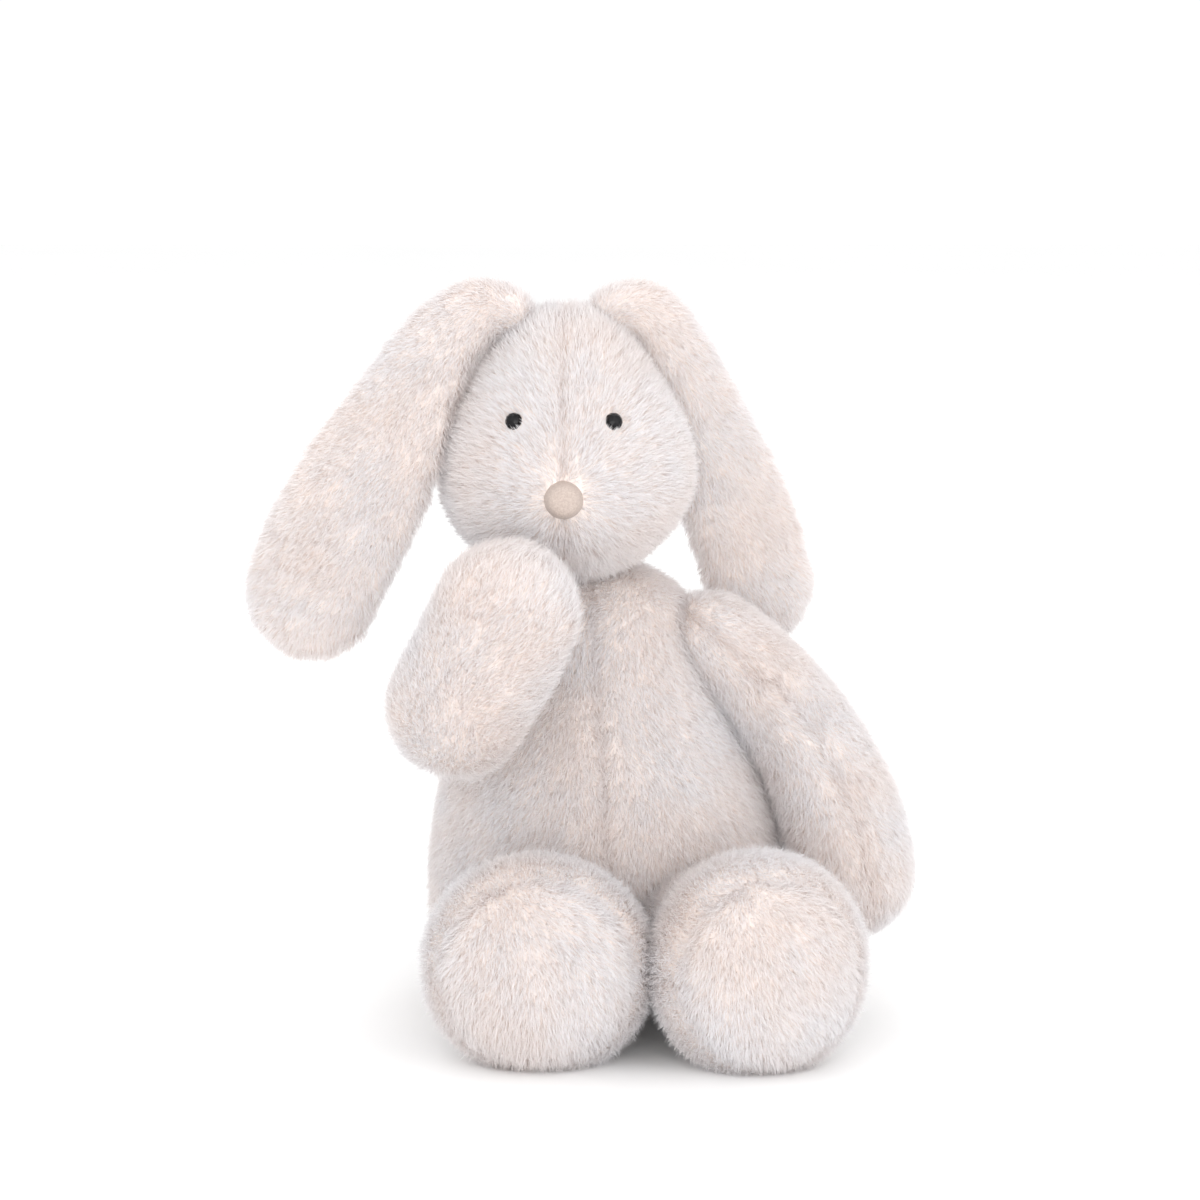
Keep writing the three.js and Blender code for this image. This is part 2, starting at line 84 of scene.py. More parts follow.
# A form is a spine, in fractions of the box of its CAD panels, with half sizes at even steps along it.
# facing is the side that the front, top or outer panel covers, and caps are the lengths over which the two
# ends round off.
FORMS = {
    "head": {
        "nodes": HEAD_NODES,
        "spine": [(0.53, 0.534, -0.02), (0.5, 0.534, 0.48), (0.5, 0.534, 1.0)],
        "widths": [43, 51, 50.5, 42.5, 38],
        "depths": [40, 49, 50, 46, 40],
        "facing": (0, -1, 0),
        "caps": (46, 58),
    },
    "body": {
        "nodes": BODY_NODES,
        "spine": [(0.52, 0.51, -0.065), (0.49, 0.5, 0.32), (0.45, 0.51, 0.65), (0.41, 0.53, 1.01)],
        "widths": [63, 74, 73, 63, 50, 38],
        "depths": [54, 60, 60, 52, 40, 32],
        "facing": (0, -1, 0),
        "caps": (44, 26),
    },
    "tail": {
        "nodes": ["tail_cover"],
        "spine": [(0.48, -0.12, 0.38), (0.515, 1.0, 0.63)],
        "widths": [15, 17, 14],
        "depths": [15, 17, 14],
        "facing": (0, 0, 1),
        "caps": (16, 17),
    },
    "ear_right": {
        "nodes": ["ear_right_front", "ear_right_back"],
        "spine": [
            (0.985, 0.835, 0.87), (0.825, 0.72, 0.945), (0.645, 0.545, 0.82), (0.49, 0.4, 0.58),
            (0.36, 0.315, 0.39), (0.245, 0.285, 0.205), (0.145, 0.26, 0.0),
        ],
        "widths": [10, 15, 20, 27, 30, 30, 28],
        "depths": [7, 8, 7.5, 7.5, 7.5, 7.5, 7],
        "facing": (-0.25, -1, 0),
        "caps": (10, 25),
    },
    "ear_left": {
        "nodes": ["ear_left_front", "ear_left_back"],
        "spine": [
            (0.02, 0.115, 0.89), (0.195, 0.2, 0.965), (0.365, 0.34, 0.855),
            (0.52, 0.545, 0.6), (0.685, 0.73, 0.33), (0.835, 0.855, 0.0),
        ],
        "widths": [10, 13, 17, 22, 25, 25, 23],
        "depths": [7, 8, 7.5, 7.5, 7.5, 7.5, 7],
        "facing": (0.3, -1, 0),
        "caps": (10, 24),
    },
    "arm_right_upper": {
        "nodes": ["arm_right_upper_outer", "arm_right_upper_inner"],
        "spine": [(0.71, 0.99, 0.74), (0.545, 0.49, 0.545), (0.42, -0.21, 0.35)],
        "widths": [19, 22, 25, 26],
        "depths": [17, 19, 22, 23],
        "facing": (-1, 0, -0.2),
        "caps": (17, 20),
    },
    "arm_right_lower": {
        "nodes": ["arm_right_lower_outer", "arm_right_lower_inner"],
        "spine": [(0.19, 0.7, 0.04), (0.35, 0.55, 0.275), (0.535, 0.44, 0.55), (0.79, 0.46, 0.975)],
        "widths": [25, 27, 28, 28, 26],
        "depths": [20, 20, 20, 19, 17],
        "facing": (0, -1, 0.1),
        "caps": (24, 26),
    },
    "arm_left_upper": {
        "nodes": ["arm_left_upper_outer", "arm_left_upper_inner"],
        "spine": [(0.055, 0.625, 0.92), (0.575, 0.5, 0.48), (0.99, 0.4, -0.02)],
        "widths": [17, 18, 19, 19],
        "depths": [16, 19, 21, 23],
        "facing": (0.76, 0.2, 0.64),
        "caps": (17, 18),
    },
    "arm_left_lower": {
        "nodes": ["arm_left_lower_outer", "arm_left_lower_inner"],
        "spine": [(0.145, 0.6, 0.97), (0.38, 0.555, 0.73), (0.595, 0.465, 0.39), (0.675, 0.4, 0.0)],
        "widths": [18, 20, 20, 20, 18],
        "depths": [19, 22, 24, 24, 21],
        "facing": (0.93, 0.3, 0.35),
        "caps": (18, 20),
    },
    "leg_right": {
        "nodes": ["leg_right_top", "leg_right_under", "leg_right_sole"],
        "spine": [(0.47, 1.0, 0.42), (0.48, 0.7, 0.42), (0.505, 0.39, 0.47), (0.48, 0.0, 0.49)],
        "widths": [28, 31, 36, 46, 43],
        "depths": [28, 30, 34, 44, 42],
        "facing": (0, 0, 1),
        "caps": (27, 34),
    },
    "leg_left": {
        "nodes": ["leg_left_top", "leg_left_under", "leg_left_sole"],
        "spine": [(0.255, 1.0, 0.41), (0.34, 0.71, 0.41), (0.515, 0.39, 0.465), (0.63, 0.0, 0.49)],
        "widths": [28, 31, 35, 43, 40],
        "depths": [28, 30, 35, 45, 43],
        "facing": (0, 0, 1),
        "caps": (27, 34),
    },
}


# ---------------------------------------------------------------- curves and forms

def unit(vectors):
    """Vectors scaled to length one."""
    return vectors / np.maximum(np.linalg.norm(vectors, axis=-1, keepdims=True), 1e-9)


def through_points(points, count):
    """A smooth curve through points: each span is a cubic whose end slopes are half the neighbours' steps."""
    p = np.asarray(points, float)
    ends = np.concatenate([[2 * p[0] - p[1]], p, [2 * p[-1] - p[-2]]])
    place = np.linspace(0, len(p) - 1, count)
    span = np.minimum(place.astype(int), len(p) - 2)
    u = (place - span).reshape((-1,) + (1,) * (p.ndim - 1))
    a, b, c, d = (ends[span + k] for k in range(4))
    return b + 0.5 * u * (c - a + u * (2 * a - 5 * b + 4 * c - d + u * (3 * (b - c) + d - a)))


def box_of(nodes):
    """The lowest corner and the size of the box round several CAD nodes, in millimetres."""
    corners = [np.array(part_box(node)) / MM for node in nodes]
    low = np.min([c[0] for c in corners], axis=0)
    return low, np.max([c[1] for c in corners], axis=0) - low


def in_box(nodes, fractions):
    """Points given as fractions of the box round some CAD nodes."""
    low, size = box_of(nodes)
    return low + np.asarray(fractions, float) * size


def swell_along(length, caps):
    """Places along a spine, and how full the form is there: sin(turn) over a rounded end, and 1 between."""
    turn = np.linspace(0, np.pi / 2, 10)
    middle = np.linspace(caps[0], length - caps[1], 22)[1:-1]
    at = np.concatenate([caps[0] * (1 - np.cos(turn)), middle, length - caps[1] * (1 - np.cos(turn[::-1]))])
    return at, np.concatenate([np.sin(turn), np.ones(len(middle)), np.sin(turn[::-1])])


def build_form(name):
    """The discs of a form: centres along its spine, three directions at each, and its half sizes there."""
    form = FORMS[name]
    dense = through_points(in_box(form["nodes"], form["spine"]), 400)
    run = np.concatenate([[0], np.cumsum(np.linalg.norm(np.diff(dense, axis=0), axis=1))])
    at, swell = swell_along(run[-1], form["caps"])
    centre = np.stack([np.interp(at, run, dense[:, k]) for k in range(3)], axis=-1)
    along = unit(np.stack([np.interp(at, run, np.gradient(dense[:, k])) for k in range(3)], axis=-1))
    across = unit(np.cross(along, np.array(form["facing"], float)))
    steps = at / run[-1]
    even = np.linspace(0, 1, 200)
    width = np.interp(steps, even, through_points(form["widths"], 200))
    depth = np.interp(steps, even, through_points(form["depths"], 200))
    return {
        "centre": centre,
        "along": along,
        "across": across,
        "through": np.cross(along, across),
        "width": (width - SKIN_INSET) * swell,
        "depth": (depth - SKIN_INSET) * swell,
    }


def nearest_disc(form, points):
    """For each point, the disc it is nearest to, and how far out it is there: 1 on the form's surface."""
    best = np.full(len(points), 1e9)
    index = np.zeros(len(points), int)
    for k in range(len(form["centre"])):
        away = points - form["centre"][k]
        out = (away @ form["across"][k] / max(form["width"][k], 1)) ** 2
        out += (away @ form["through"][k] / max(form["depth"][k], 1)) ** 2
        out += (away @ form["along"][k] / 3.0) ** 2
        closer = out < best
        best[closer] = out[closer]
        index[closer] = k
    return index, np.sqrt(best)


def inside(form, points, margin=0.0):
    """Whether points lie in a form, or within margin of its surface."""
    index, out = nearest_disc(form, points)
    size = np.maximum(np.minimum(form["width"][index], form["depth"][index]), 1)
    return (out - 1) * size < margin


def side_of_ribbon(form, points):
    """How far points lie on the facing side of the ribbon through a form's spine, and that direction."""
    index, _ = nearest_disc(form, points)
    facing = -form["through"][index]
    return ((points - form["centre"][index]) * facing).sum(axis=1), facing


def side_of_plane(origin, normal):
    """A function that gives how far points lie in front of a plane, and the plane's direction."""
    direction = unit(np.array(normal, float))

    def side(points):
        return (points - np.array(origin, float)) @ direction, np.broadcast_to(direction, points.shape)

    return side


# ---------------------------------------------------------------- meshes

def mesh_object(name, points, faces):
    """An object at the origin from points in millimetres and faces that all have as many corners."""
    mesh = bpy.data.meshes.new(name)
    corners = faces.shape[1]
    mesh.vertices.add(len(points))
    mesh.vertices.foreach_set("co", (points * MM).astype(np.float32).ravel())
    mesh.loops.add(faces.size)
    mesh.loops.foreach_set("vertex_index", faces.astype(np.int32).ravel())
    mesh.polygons.add(len(faces))
    mesh.polygons.foreach_set("loop_start", np.arange(0, faces.size, corners, dtype=np.int32))
    mesh.polygons.foreach_set("use_smooth", np.ones(len(faces), bool))
    mesh.update(calc_edges=True)
    obj = bpy.data.objects.new(name, mesh)
    bpy.context.scene.collection.objects.link(obj)
    return obj


def arrays_of(mesh):
    """A mesh of quads as points in millimetres and faces."""
    points = np.empty(len(mesh.vertices) * 3)
    mesh.vertices.foreach_get("co", points)
    faces = np.empty(len(mesh.loops), np.int32)
    mesh.loops.foreach_get("vertex_index", faces)
    return points.reshape(-1, 3) / MM, faces.reshape(-1, 4)


def grid_faces(rows, columns):
    """Quads of a grid whose columns close on themselves, facing out for rings that run along the form."""
    index = np.arange(rows * columns).reshape(rows, columns)
    near, far = index[:-1], index[1:]
    ring = [near, np.roll(near, -1, axis=1), np.roll(far, -1, axis=1), far]
    return np.stack(ring, axis=-1).reshape(-1, 4)


def form_surface(form, warp=None):
    """Rings round the spine: centre + width cos(a) across + depth sin(a) through, for a once round."""
    angle = np.linspace(0, 2 * np.pi, SIDES, endpoint=False)[None, :, None]
    width = form["width"][:, None, None]
    depth = form["depth"][:, None, None]
    ring = width * np.cos(angle) * form["across"][:, None] + depth * np.sin(angle) * form["through"][:, None]
    points = (form["centre"][:, None] + ring).reshape(-1, 3)
    if warp:
        points = warp(points)
    return points, grid_faces(len(form["centre"]), SIDES)


def modified(obj, kind, **settings):
    """The object's mesh with one modifier applied, as arrays; the object is removed."""
    modifier = obj.modifiers.new(kind.lower(), kind)
    for key, value in settings.items():
        setattr(modifier, key, value)
    evaluated = obj.evaluated_get(bpy.context.evaluated_depsgraph_get())
    arrays = arrays_of(bpy.data.meshes.new_from_object(evaluated))
    bpy.data.objects.remove(obj)
    return arrays


def relaxed(points, faces, steps):
    """Points moved half way to the mean of their neighbours, then a little more than half way back out, a
    number of times, which takes away the grain and keeps the volume."""
    near = np.concatenate([faces.ravel(), np.roll(faces, -1, axis=1).ravel()])
    far = np.concatenate([np.roll(faces, -1, axis=1).ravel(), faces.ravel()])
    count = np.maximum(np.bincount(near, minlength=len(points)), 1)[:, None]
    for share in (0.5, -0.52) * steps:
        total = [np.bincount(near, points[far, k], len(points)) for k in range(3)]
        points = points + share * (np.stack(total, axis=-1) / count - points)
    return points


def normals_of(points, faces):
    """Smooth directions out of the surface at each point: the sum of the quads' cross products round it."""
    a, b, c, d = (points[faces[:, k]] for k in range(4))
    out = np.cross(c - a, d - b)
    total = np.zeros_like(points)
    for k in range(4):
        for axis in range(3):
            total[:, axis] += np.bincount(faces[:, k], out[:, axis], len(points))
    return unit(total)


# ---------------------------------------------------------------- sewing and filling

def sewn_shell(surfaces, name):
    """One closed skin round one or more forms: remeshed evenly, then smoothed."""
    points = np.concatenate([s[0] for s in surfaces])
    start = np.cumsum([0] + [len(s[0]) for s in surfaces[:-1]])
    faces = np.concatenate([s[1] + k for s, k in zip(surfaces, start)])
    shell = mesh_object(name, points, faces)
    points, faces = modified(shell, "REMESH", mode="VOXEL", voxel_size=VOXEL * MM)
    points = relaxed(points, faces, 5)
    points[:, 2] = np.maximum(points[:, 2], FLOOR_GAP)
    return points, faces


def puffed(shells):
    """Every skin blown up by its filling at once: Cloth with pressure, held at the seams and on the floor."""
    cloths = {}
    for name, (points, faces, names) in shells.items():
        obj = mesh_object("puff_" + name, points, faces)
        held = on_seams(points, faces, names) | (points[:, 2] < FLOOR_GAP + 1)
        group = obj.vertex_groups.new(name="held")
        group.add(np.flatnonzero(held).tolist(), 1.0, "REPLACE")
        cloth = obj.modifiers.new("cloth", "CLOTH")
        cloth.settings.quality = 4
        cloth.settings.mass = 0.3
        cloth.settings.tension_stiffness = 15
        cloth.settings.compression_stiffness = 15
        cloth.settings.bending_stiffness = 0.5
        cloth.settings.use_pressure = True
        cloth.settings.uniform_pressure_force = PUFF_PRESSURE
        cloth.settings.vertex_group_mass = "held"
        cloth.settings.effector_weights.gravity = 0
        cloth.point_cache.frame_start = 1
        cloth.point_cache.frame_end = PUFF_FRAMES
        cloths[name] = obj
    for frame_number in range(1, PUFF_FRAMES + 1):
        bpy.context.scene.frame_set(frame_number)
    graph = bpy.context.evaluated_depsgraph_get()
    out = {}
    for name, obj in cloths.items():
        points = shells[name][0]
        blown, _ = arrays_of(obj.evaluated_get(graph).data)
        move = np.nan_to_num(blown - points)
        far = np.linalg.norm(move, axis=1, keepdims=True)
        out[name] = points + move * np.minimum(1, PUFF_CAP / np.maximum(far, 1e-6))
    for obj in cloths.values():
        bpy.data.objects.remove(obj)
    bpy.context.scene.frame_set(1)
    return out


def finished_skin(points, faces, names):
    """One subdivision, then each seam pulls in by depth x exp(-(distance / width) squared)."""
    fine = mesh_object("fine", points, faces)
    points, faces = modified(fine, "SUBSURF", levels=1, render_levels=1)
    names = np.repeat(names, 4)
    line = points[on_seams(points, faces, names)]
    pull = np.exp(-((distance_to(line, points) / SEAM_WIDTH) ** 2))
    points = points - SEAM_DEPTH * pull[:, None] * normals_of(points, faces)
    points[:, 2] = np.maximum(points[:, 2], FLOOR_GAP)
    return points, faces, names, line


def on_seams(points, faces, names):
    """Which points are shared by faces of more than one panel. An arm's panels run on past the elbow."""
    whole = [name.replace("_upper", "").replace("_lower", "") for name in names]
    labels = np.unique(whole, return_inverse=True)[1]
    corners = faces.ravel()
    each = np.repeat(labels, faces.shape[1])
    most = np.zeros(len(points), int)
    least = np.full(len(points), len(names))
    np.maximum.at(most, corners, each)
    np.minimum.at(least, corners, each)
    return most > least


def distance_to(line, points):
    """How far each point is from the nearest point of a seam line."""
    best = np.full(len(points), 1e9)
    for start in range(0, len(line), 64):
        step = points[:, None] - line[None, start : start + 64]
        best = np.minimum(best, (step ** 2).sum(axis=2).min(axis=1))
    return np.sqrt(best)


def cut_panels(points, faces, cuts):
    """Faces sorted into panels. Each cut splits one panel by the sign of a distance, and the points on the
    border then slide to where that distance is nothing, so that both panels end on the same line."""
    names = np.full(len(faces), cuts[0][0], dtype=object)
    for parent, front, back, distance in cuts:
        ours = np.flatnonzero(names == parent)
        ahead = distance(points[faces[ours]].mean(axis=1))[0] > 0
        border = np.intersect1d(faces[ours[ahead]], faces[ours[~ahead]])
        if len(border):
            value, slope = distance(points[border])
            points[border] -= np.clip(value, -VOXEL, VOXEL)[:, None] * slope
        names[ours] = np.where(ahead, front, back)
    return points, names


def only(points, faces):
    """The points that some faces use, and the faces renumbered for them."""
    used, numbered = np.unique(faces, return_inverse=True)
    return points[used], numbered.reshape(faces.shape)


# ---------------------------------------------------------------- pile

def waves(points, scale, seed):
    """A smooth wandering direction: the mean of four sines of turned coordinates."""
    draw = np.random.default_rng(seed)
    total = np.zeros(points.shape)
    for _ in range(4):
        turn = draw.normal(size=(3, 3)) * scale
        total += np.sin(points @ turn.T + draw.uniform(0, 2 * np.pi, 3))
    return total / 4


def cell_offsets(cells, seed):
    """A fixed odd number from 0 to 1 for each cell and axis, by mixing its three whole numbers."""
    mixed = (cells[:, 0] * 73856093) ^ (cells[:, 1] * 19349663) ^ (cells[:, 2] * 83492791) ^ (seed * 7919)
    mixed &= 0x7FFFFFFF
    out = []
    for _ in range(3):
        mixed = (mixed * 1103515245 + 12345) & 0x7FFFFFFF
        out.append(mixed / 0x7FFFFFFF)
    return np.stack(out, axis=-1)


def tuft_centres(points, seed):
    """The nearest of a set of scattered points, one in each cell, that strands draw together towards."""
    base = np.floor(points / CLUMP_SIZE).astype(np.int64)
    best = np.full(len(points), 1e9)
    centres = np.zeros_like(points)
    for step in np.ndindex(3, 3, 3):
        cells = base + np.array(step) - 1
        candidate = (cells + cell_offsets(cells, seed)) * CLUMP_SIZE
        away = ((candidate - points) ** 2).sum(axis=1)
        closer = away < best
        best[closer] = away[closer]
        centres[closer] = candidate[closer]
    return centres


def scatter(points, faces, density, rng):
    """Roots spread evenly by area over a skin's triangles, with the smooth direction out at each."""
    normals = normals_of(points, faces)
    triangles = np.concatenate([faces[:, [0, 1, 2]], faces[:, [0, 2, 3]]])
    a, b, c = (points[triangles[:, k]] for k in range(3))
    area = np.linalg.norm(np.cross(b - a, c - a), axis=1) / 2
    count = int(area.sum() * density)
    pick = np.minimum(np.searchsorted(np.cumsum(area) / area.sum(), rng.random(count)), len(area) - 1)
    far = np.sqrt(rng.random(count))
    turn = rng.random(count)
    weights = np.stack([1 - far, far * (1 - turn), far * turn], axis=-1)[:, :, None]
    corners = triangles[pick]
    return (points[corners] * weights).sum(axis=1), unit((normals[corners] * weights).sum(axis=1))


def grow_pile(name, roots, outward, flow, length, seam_shade_share, seed):
    """Strands of three triangles: a root pair, a middle pair and a tip. Each leaves the skin leaning along
    the flow, leans further towards its tip, and draws a little towards its tuft."""
    rng = np.random.default_rng(seed)
    count = len(roots)
    jitter = rng.normal(size=(2, count, 3))
    flow = flow + 0.45 * waves(roots, 0.06, seed) + 0.25 * waves(roots, 0.2, seed + 1)
    flow = unit(flow - (flow * outward).sum(axis=1, keepdims=True) * outward)
    lean = np.radians(LEAN + 12 * rng.normal(size=count))[:, None]
    long = (length * (0.78 + 0.4 * rng.random(count)))[:, None]
    lower = unit(outward * np.cos(0.62 * lean) + flow * np.sin(0.62 * lean) + 0.2 * jitter[0])
    upper = unit(outward * np.cos(1.25 * lean) + flow * np.sin(1.25 * lean) + 0.24 * jitter[1])
    middle = roots + lower * long * 0.5
    tip = middle + upper * long * 0.5
    centre = tuft_centres(roots, seed)
    centre = centre - ((centre - roots) * outward).sum(axis=1, keepdims=True) * outward
    tip = tip + 0.1 * (centre - roots)
    middle = middle + 0.03 * (centre - roots)
    side = unit(np.cross(lower, outward + 0.7 * rng.normal(size=(count, 3))))
    half = (STRAND_WIDTH / 2 * (0.75 + 0.5 * rng.random(count)))[:, None]
    narrow = half * 0.9
    corners = [roots - side * half, roots + side * half, middle + side * narrow, middle - side * narrow, tip]
    points = np.stack(corners, axis=1).reshape(-1, 3)
    points[:, 2] = np.maximum(points[:, 2], FLOOR_GAP / 2)
    first = np.arange(count)[:, None] * 5
    faces = np.concatenate([first + [0, 1, 2], first + [0, 2, 3], first + [3, 2, 4]], axis=1).reshape(-1, 3)
    pile = mesh_object(name, points, faces)
    pile.data.polygons.foreach_set("use_smooth", np.zeros(len(faces), bool))
    set_attribute(pile, "height", np.tile([0, 0, 0.5, 0.5, 1.0], count))
    set_attribute(pile, "tone", np.repeat(rng.random(count), 5))
    # the share of the seam's colour, warm roots and painted shade in its groove, for the material to read
    set_attribute(pile, "near_seam", np.repeat(seam_shade_share, 5))
    return pile


def set_attribute(obj, name, values):
    """A number on each point of a mesh, for its material to read."""
    attribute = obj.data.attributes.new(name, "FLOAT", "POINT")
    attribute.data.foreach_set("value", np.asarray(values, np.float32))


# ---------------------------------------------------------------- materials

def new_material(name):
    """A material, with its node tree and its Principled node."""
    material = bpy.data.materials.new(name)
    material.use_nodes = True
    return material, material.node_tree, material.node_tree.nodes["Principled BSDF"]


def attribute_node(tree, name):
    """The number that each point of a mesh carries under a name."""
    node = tree.nodes.new("ShaderNodeAttribute")
    node.attribute_name = name
    return node.outputs["Fac"]


def object_noise(tree, scale, detail=2.0):
    """Noise on Object coordinates."""
    where = tree.nodes.new("ShaderNodeTexCoord")
    noise = tree.nodes.new("ShaderNodeTexNoise")
    noise.inputs["Scale"].default_value = scale
    noise.inputs["Detail"].default_value = detail
    tree.links.new(where.outputs["Object"], noise.inputs["Vector"])
    return noise.outputs["Fac"]


def ramp(tree, factor, stops):
    """A colour ramp with the given (place, colour) stops."""
    node = tree.nodes.new("ShaderNodeValToRGB")
    elements = node.color_ramp.elements
    for element, (place, colour) in zip(elements, (stops[0], stops[-1])):
        element.position = place
        element.color = (*colour, 1)
    for place, colour in stops[1:-1]:
        element = elements.new(place)
        element.color = (*colour, 1)
    tree.links.new(factor, node.inputs["Fac"])
    return node.outputs["Color"]


def mixed(tree, factor, first, second, kind="MIX"):
    """Two colours mixed by a factor, or a number."""
    node = tree.nodes.new("ShaderNodeMix")
    node.data_type = "RGBA"
    node.blend_type = kind
    for socket, value in ((node.inputs["Factor"], factor), (node.inputs[6], first), (node.inputs[7], second)):
        if isinstance(value, (int, float)):
            socket.default_value = value
        elif isinstance(value, tuple):
            socket.default_value = (*value, 1)
        else:
            tree.links.new(value, socket)
    return node.outputs[2]


def bumped(tree, shader, height, strength, distance):
    """Bump on a shader from a height."""
    node = tree.nodes.new("ShaderNodeBump")
    node.inputs["Strength"].default_value = strength
    node.inputs["Distance"].default_value = distance * MM
    tree.links.new(height, node.inputs["Height"])
    tree.links.new(node.outputs["Normal"], shader.inputs["Normal"])


def pile_material():
    """Cream pile: warm at the root, nearly white at the tip, in soft warm and cool patches."""
    material, tree, shader = new_material("plush_pile")
    strand = ramp(tree, attribute_node(tree, "height"), PILE_COLOURS)
    patches = ramp(tree, object_noise(tree, 22), [(0.38, WARM_PATCH), (0.62, COOL_PATCH)])
    colour = mixed(tree, 1.0, strand, patches, "MULTIPLY")
    tone = ramp(tree, attribute_node(tree, "tone"), [(0, (0.975, 0.97, 0.97)), (1, (1.0, 1.0, 1.0))])
    colour = mixed(tree, 1.0, colour, tone, "MULTIPLY")
    # warmer, darker pile along the seams: partly the parted warm roots, partly painted shade in the seam's
    # groove
    seam = ramp(tree, attribute_node(tree, "near_seam"), [(0, (1, 1, 1)), (1, SEAM_ROOTS_AND_SHADE_COLOUR)])
    colour = mixed(tree, 1.0, colour, seam, "MULTIPLY")
    tree.links.new(colour, shader.inputs["Base Color"])
    shader.inputs["Roughness"].default_value = 0.6
    shader.inputs["Specular IOR Level"].default_value = 0.3
    shader.inputs["Sheen Weight"].default_value = 0.15
    glow = tree.nodes.new("ShaderNodeBsdfTranslucent")
    tree.links.new(colour, glow.inputs["Color"])
    blend = tree.nodes.new("ShaderNodeMixShader")
    blend.inputs["Fac"].default_value = 0.5
    tree.links.new(shader.outputs["BSDF"], blend.inputs[1])
    tree.links.new(glow.outputs["BSDF"], blend.inputs[2])
    tree.links.new(blend.outputs["Shader"], tree.nodes["Material Output"].inputs["Surface"])
    return material


def backing_material():
    """Knitted backing cloth that shows between the strands: a warm peach with a fine knit."""
    material, tree, shader = new_material("plush_backing")
    colour = ramp(tree, object_noise(tree, 60), [(0.3, (0.84, 0.75, 0.70)), (0.7, (0.90, 0.83, 0.79))])
    tree.links.new(colour, shader.inputs["Base Color"])
    shader.inputs["Roughness"].default_value = 0.9
    bumped(tree, shader, object_noise(tree, 900, 1), 0.4, 0.3)
    return material


def velour_material():
    """Short peach velour with a fine grain."""
    material, tree, shader = new_material("nose_velour")
    grain = object_noise(tree, 1400, 3)
    colour = ramp(tree, grain, [(0.3, (0.415, 0.335, 0.295)), (0.7, (0.53, 0.446, 0.398))])
    tree.links.new(colour, shader.inputs["Base Color"])
    shader.inputs["Roughness"].default_value = 0.8
    shader.inputs["Sheen Weight"].default_value = 0.1
    bumped(tree, shader, object_noise(tree, 2200, 2), 0.6, 0.3)
    return material


def eye_material():
    """Black moulded plastic with a clear polish."""
    material, tree, shader = new_material("eye_black_plastic")
    colour = ramp(tree, object_noise(tree, 80), [(0.3, (0.004, 0.004, 0.005)), (0.7, (0.012, 0.011, 0.012))])
    tree.links.new(colour, shader.inputs["Base Color"])
    shader.inputs["Roughness"].default_value = 0.08
    shader.inputs["Specular IOR Level"].default_value = 0.2
    return material


def fibre_material(name, low, high, scale):
    """A soft matt fibre or cloth between two colours."""
    material, tree, shader = new_material(name)
    colour = ramp(tree, object_noise(tree, scale, 4), [(0.3, low), (0.7, high)])
    tree.links.new(colour, shader.inputs["Base Color"])
    shader.inputs["Roughness"].default_value = 0.9
    bumped(tree, shader, object_noise(tree, scale * 3, 3), 0.5, 1.0)
    return material


# ---------------------------------------------------------------- the frame

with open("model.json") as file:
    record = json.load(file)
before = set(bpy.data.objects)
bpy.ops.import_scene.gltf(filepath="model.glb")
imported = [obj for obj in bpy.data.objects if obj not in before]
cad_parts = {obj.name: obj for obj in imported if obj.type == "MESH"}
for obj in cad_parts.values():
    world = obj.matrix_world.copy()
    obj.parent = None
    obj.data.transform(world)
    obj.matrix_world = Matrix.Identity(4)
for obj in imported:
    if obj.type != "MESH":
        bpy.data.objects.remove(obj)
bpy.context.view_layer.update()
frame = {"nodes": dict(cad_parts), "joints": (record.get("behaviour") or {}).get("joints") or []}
forms = {name: build_form(name) for name in FORMS}
forms_of_limb = {
    "head": ["head"],
    "body": ["body"],
    "tail": ["tail"],
    "ear_right": ["ear_right"],
    "ear_left": ["ear_left"],
    "arm_right": ["arm_right_upper", "arm_right_lower"],
    "arm_left": ["arm_left_upper", "arm_left_lower"],
    "leg_right": ["leg_right"],
    "leg_left": ["leg_left"],
}
joints = {joint["name"]: np.array(joint["pos_m"]) / MM for joint in frame["joints"]}
NOSE = in_box(["nose_patch"], [0.5, 0.5, 0.5])


# ---------------------------------------------------------------- seams, panels and pile directions

def centre_x():
    """The face's centre seam lies midway between its two panels."""
    return (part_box("face_right")[1][0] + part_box("face_left")[0][0]) / 2 / MM


def back_y():
    """The seam behind the ears lies midway between the face panels and the back of the head."""
    return (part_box("face_left")[1][1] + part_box("head_back")[0][1]) / 2 / MM


def snout(points):
    """The muzzle bulges forward by its bulge x exp(-(distance from the nose / reach) squared), and only the
    front half of the head, more the further forward a point is."""
    low, size = box_of(HEAD_NODES)
    middle = low[1] + 0.534 * size[1]
    off = (points[:, 0] - NOSE[0]) ** 2 + (points[:, 2] - NOSE[2] + 4) ** 2
    front = np.maximum(0, (middle - points[:, 1]) / 50)
    points[:, 1] -= SNOUT_BULGE * front * np.exp(-off / SNOUT_REACH ** 2)
    return points


def ribbon(name):
    """How far points lie on the facing side of a named form."""
    return lambda points: side_of_ribbon(forms[name], points)


def behind_arm_plane(side, fraction):
    """A plane across the upper arm at a fraction of its length, facing the shoulder."""
    form = forms[f"arm_{side}_upper"]
    k = int(fraction * (len(form["centre"]) - 1))
    return side_of_plane(form["centre"][k], -form["along"][k])


